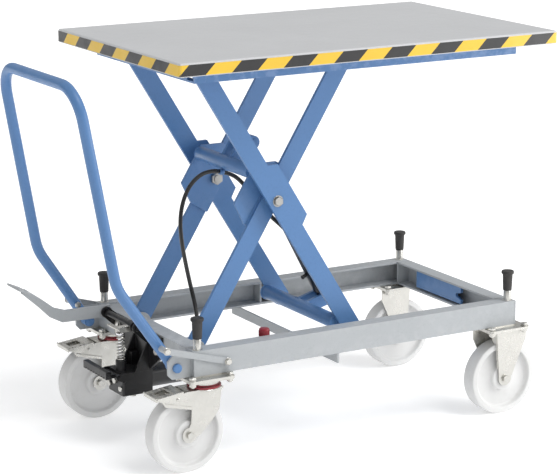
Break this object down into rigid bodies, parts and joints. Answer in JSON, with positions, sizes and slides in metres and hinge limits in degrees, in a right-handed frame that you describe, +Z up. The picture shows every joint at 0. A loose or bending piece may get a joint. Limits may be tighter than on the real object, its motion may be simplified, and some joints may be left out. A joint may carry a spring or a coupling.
{
  "type": "scissor lift table",
  "caption": "Mobile hydraulic lift table: tray platform on one pair of scissor arms over a channel frame, with castors, push handle and foot pump.",
  "frame": {"origin": "bottom centre of the lift's whole box, on the floor", "axes": "+X along the base frame away from the push handle, +Y across it, +Z up"},
  "size_m": [1.34, 0.686, 1.044],
  "materials": {
    "frame_grey": "satin light grey powder coat",
    "deck_grey": "satin grey powder coat with a striped edge",
    "blue": "satin blue powder coat",
    "zinc": "zinc plated",
    "rubber": "moulded",
    "seal_red": "moulded red",
    "pump_black": "black paint",
    "hose": "smooth hose cover",
    "polyamide": "cast white polyamide",
    "chrome": "hard chrome",
    "steel": "turned steel",
    "bronze": "sintered bronze"
  },
  "bodies": {
    "root": {"arm_pivot_lugs": "frame_grey", "buffer_posts": "zinc", "castor_mounting_plates": "zinc", "cross_member": "frame_grey", "end_rail_far": "frame_grey", "end_rail_operator": "frame_grey", "fixed_castor_axles": "zinc", "fixed_castor_forks": "zinc", "frame_fasteners": "zinc", "handle_ears": "frame_grey", "handle_pivot_pins": "blue", "handle_stays": "frame_grey", "hose_lower": "hose", "lock_pin_bracket": "frame_grey", "plunger_spring": "zinc", "pump_body": "pump_black", "pump_bracket": "pump_black", "pump_reservoir": "pump_black", "push_handle": "blue", "roller_stops": "frame_grey", "rubber_buffers": "rubber", "service_prop": "blue", "side_rail_left": "frame_grey", "side_rail_right": "frame_grey", "swivel_castor_plates": "zinc", "swivel_seals": "seal_red"},
    "lock_pin": {"lock_pin": "seal_red"},
    "swivel_right": {"swivel_fork_right": "zinc", "swivel_axle_right": "zinc"},
    "swivel_left": {"swivel_fork_left": "zinc", "swivel_axle_left": "zinc"},
    "brake_right": {"brake_pedal_right": "zinc"},
    "brake_left": {"brake_pedal_left": "zinc"},
    "swivel_wheel_right": {"swivel_wheel_right": "polyamide"},
    "swivel_wheel_left": {"swivel_wheel_left": "polyamide"},
    "fixed_wheel_right": {"fixed_wheel_right": "polyamide"},
    "fixed_wheel_left": {"fixed_wheel_left": "polyamide"},
    "pump_pedal": {"pump_pedal": "frame_grey", "pump_shaft": "pump_black"},
    "plunger": {"pump_plunger": "chrome"},
    "release_pedal": {"release_pedal": "pump_black"},
    "inner_arms": {"inner_arm_right": "blue", "inner_arm_left": "blue", "lever_tube": "blue", "inner_arm_pins": "steel", "inner_arm_bushes": "bronze", "hose_upper": "hose"},
    "outer_arms": {"outer_arm_right": "blue", "outer_arm_left": "blue", "lower_cross_tube": "blue", "outer_arm_pins": "steel", "outer_arm_bushes": "bronze"},
    "platform": {"platform_deck": "deck_grey", "platform_subframe": "blue"},
    "cylinder_barrel": {"cylinder_barrel": "pump_black"},
    "cylinder_rod": {"cylinder_rod": "chrome"},
    "lower_roller_right": {"lower_roller_right": "polyamide"},
    "lower_roller_left": {"lower_roller_left": "polyamide"},
    "upper_roller_right": {"upper_roller_right": "polyamide"},
    "upper_roller_left": {"upper_roller_left": "polyamide"}
  },
  "joints": [
    {"name": "lift", "type": "hinge", "parent": "root", "child": "inner_arms", "pos_m": [-0.31, 0, 0.2785], "axis": [0, 1, 0], "range_deg": [0, 48.44], "deforming": ["hose_lower"]},
    {"name": "arm_cross", "type": "hinge", "parent": "inner_arms", "child": "outer_arms", "pos_m": [-0.08308, 0, 0.64375], "axis": [0, 1, 0], "range_deg": [-96.89, 0], "deforming": ["hose_upper"]},
    {"name": "platform_level", "type": "hinge", "parent": "outer_arms", "child": "platform", "pos_m": [-0.31, 0, 1.009], "axis": [0, 1, 0], "range_deg": [0, 48.45]},
    {"name": "cylinder_base", "type": "hinge", "parent": "outer_arms", "child": "cylinder_barrel", "pos_m": [0.17681, 0, 0.32018], "axis": [0, 1, 0], "range_deg": [0, 1.73]},
    {"name": "cylinder_stroke", "type": "slide", "parent": "cylinder_barrel", "child": "cylinder_rod", "axis": [-0.4707, 0, 0.8823], "range_m": [-0.1846, 0]},
    {"name": "lower_roller_right", "type": "hinge", "parent": "outer_arms", "child": "lower_roller_right", "pos_m": [0.14384, -0.255, 0.2785], "axis": [0, 1, 0], "continuous": true},
    {"name": "upper_roller_right", "type": "hinge", "parent": "inner_arms", "child": "upper_roller_right", "pos_m": [0.14384, -0.248, 1.009], "axis": [0, 1, 0], "continuous": true},
    {"name": "castor_swivel_right", "type": "hinge", "parent": "root", "child": "swivel_right", "pos_m": [-0.335, -0.256, 0.205], "axis": [0, 0, 1], "continuous": true},
    {"name": "swivel_wheel_right", "type": "hinge", "parent": "swivel_right", "child": "swivel_wheel_right", "pos_m": [-0.392, -0.256, 0.1], "axis": [0, 1, 0], "continuous": true},
    {"name": "fixed_wheel_right", "type": "hinge", "parent": "root", "child": "fixed_wheel_right", "pos_m": [0.57, -0.256, 0.1], "axis": [0, 1, 0], "continuous": true},
    {"name": "brake_right", "type": "hinge", "parent": "swivel_right", "child": "brake_right", "pos_m": [-0.426, -0.256, 0.199], "axis": [0, -1, 0], "range_deg": [0, 12]},
    {"name": "lower_roller_left", "type": "hinge", "parent": "outer_arms", "child": "lower_roller_left", "pos_m": [0.14384, 0.255, 0.2785], "axis": [0, 1, 0], "continuous": true},
    {"name": "upper_roller_left", "type": "hinge", "parent": "inner_arms", "child": "upper_roller_left", "pos_m": [0.14384, 0.248, 1.009], "axis": [0, 1, 0], "continuous": true},
    {"name": "castor_swivel_left", "type": "hinge", "parent": "root", "child": "swivel_left", "pos_m": [-0.335, 0.256, 0.205], "axis": [0, 0, 1], "continuous": true},
    {"name": "swivel_wheel_left", "type": "hinge", "parent": "swivel_left", "child": "swivel_wheel_left", "pos_m": [-0.392, 0.256, 0.1], "axis": [0, 1, 0], "continuous": true},
    {"name": "fixed_wheel_left", "type": "hinge", "parent": "root", "child": "fixed_wheel_left", "pos_m": [0.57, 0.256, 0.1], "axis": [0, 1, 0], "continuous": true},
    {"name": "brake_left", "type": "hinge", "parent": "swivel_left", "child": "brake_left", "pos_m": [-0.426, 0.256, 0.199], "axis": [0, -1, 0], "range_deg": [0, 12]},
    {"name": "pump_stroke", "type": "hinge", "parent": "root", "child": "pump_pedal", "pos_m": [-0.41, 0, 0.319], "axis": [0, -1, 0], "range_deg": [0, 35], "stiffness_Nm_per_rad": 60, "springref_deg": -34.38},
    {"name": "plunger_stroke", "type": "slide", "parent": "root", "child": "plunger", "axis": [0, 0, 1], "range_m": [-0.0212, 0], "deforming": ["plunger_spring"]},
    {"name": "release", "type": "hinge", "parent": "root", "child": "release_pedal", "pos_m": [-0.468, 0, 0.198], "axis": [0, -1, 0], "range_deg": [0, 15], "stiffness_Nm_per_rad": 8, "springref_deg": -20.05},
    {"name": "lock_pull", "type": "slide", "parent": "root", "child": "lock_pin", "axis": [0, 0, 1], "range_m": [0, 0.012], "stiffness_N_per_m": 400, "springref_m": -0.006}
  ],
  "couplings": [
    {"joint": "arm_cross", "follows": "lift", "ratio": -2},
    {"joint": "platform_level", "follows": "lift", "ratio": 1},
    {"joint": "cylinder_base", "follows": "lift", "ratio": 0.035708},
    {"joint": "cylinder_stroke", "follows": "lift", "m_per_rad": -0.21812},
    {"joint": "plunger_stroke", "follows": "pump_stroke", "m_per_rad": -0.0345}
  ]
}
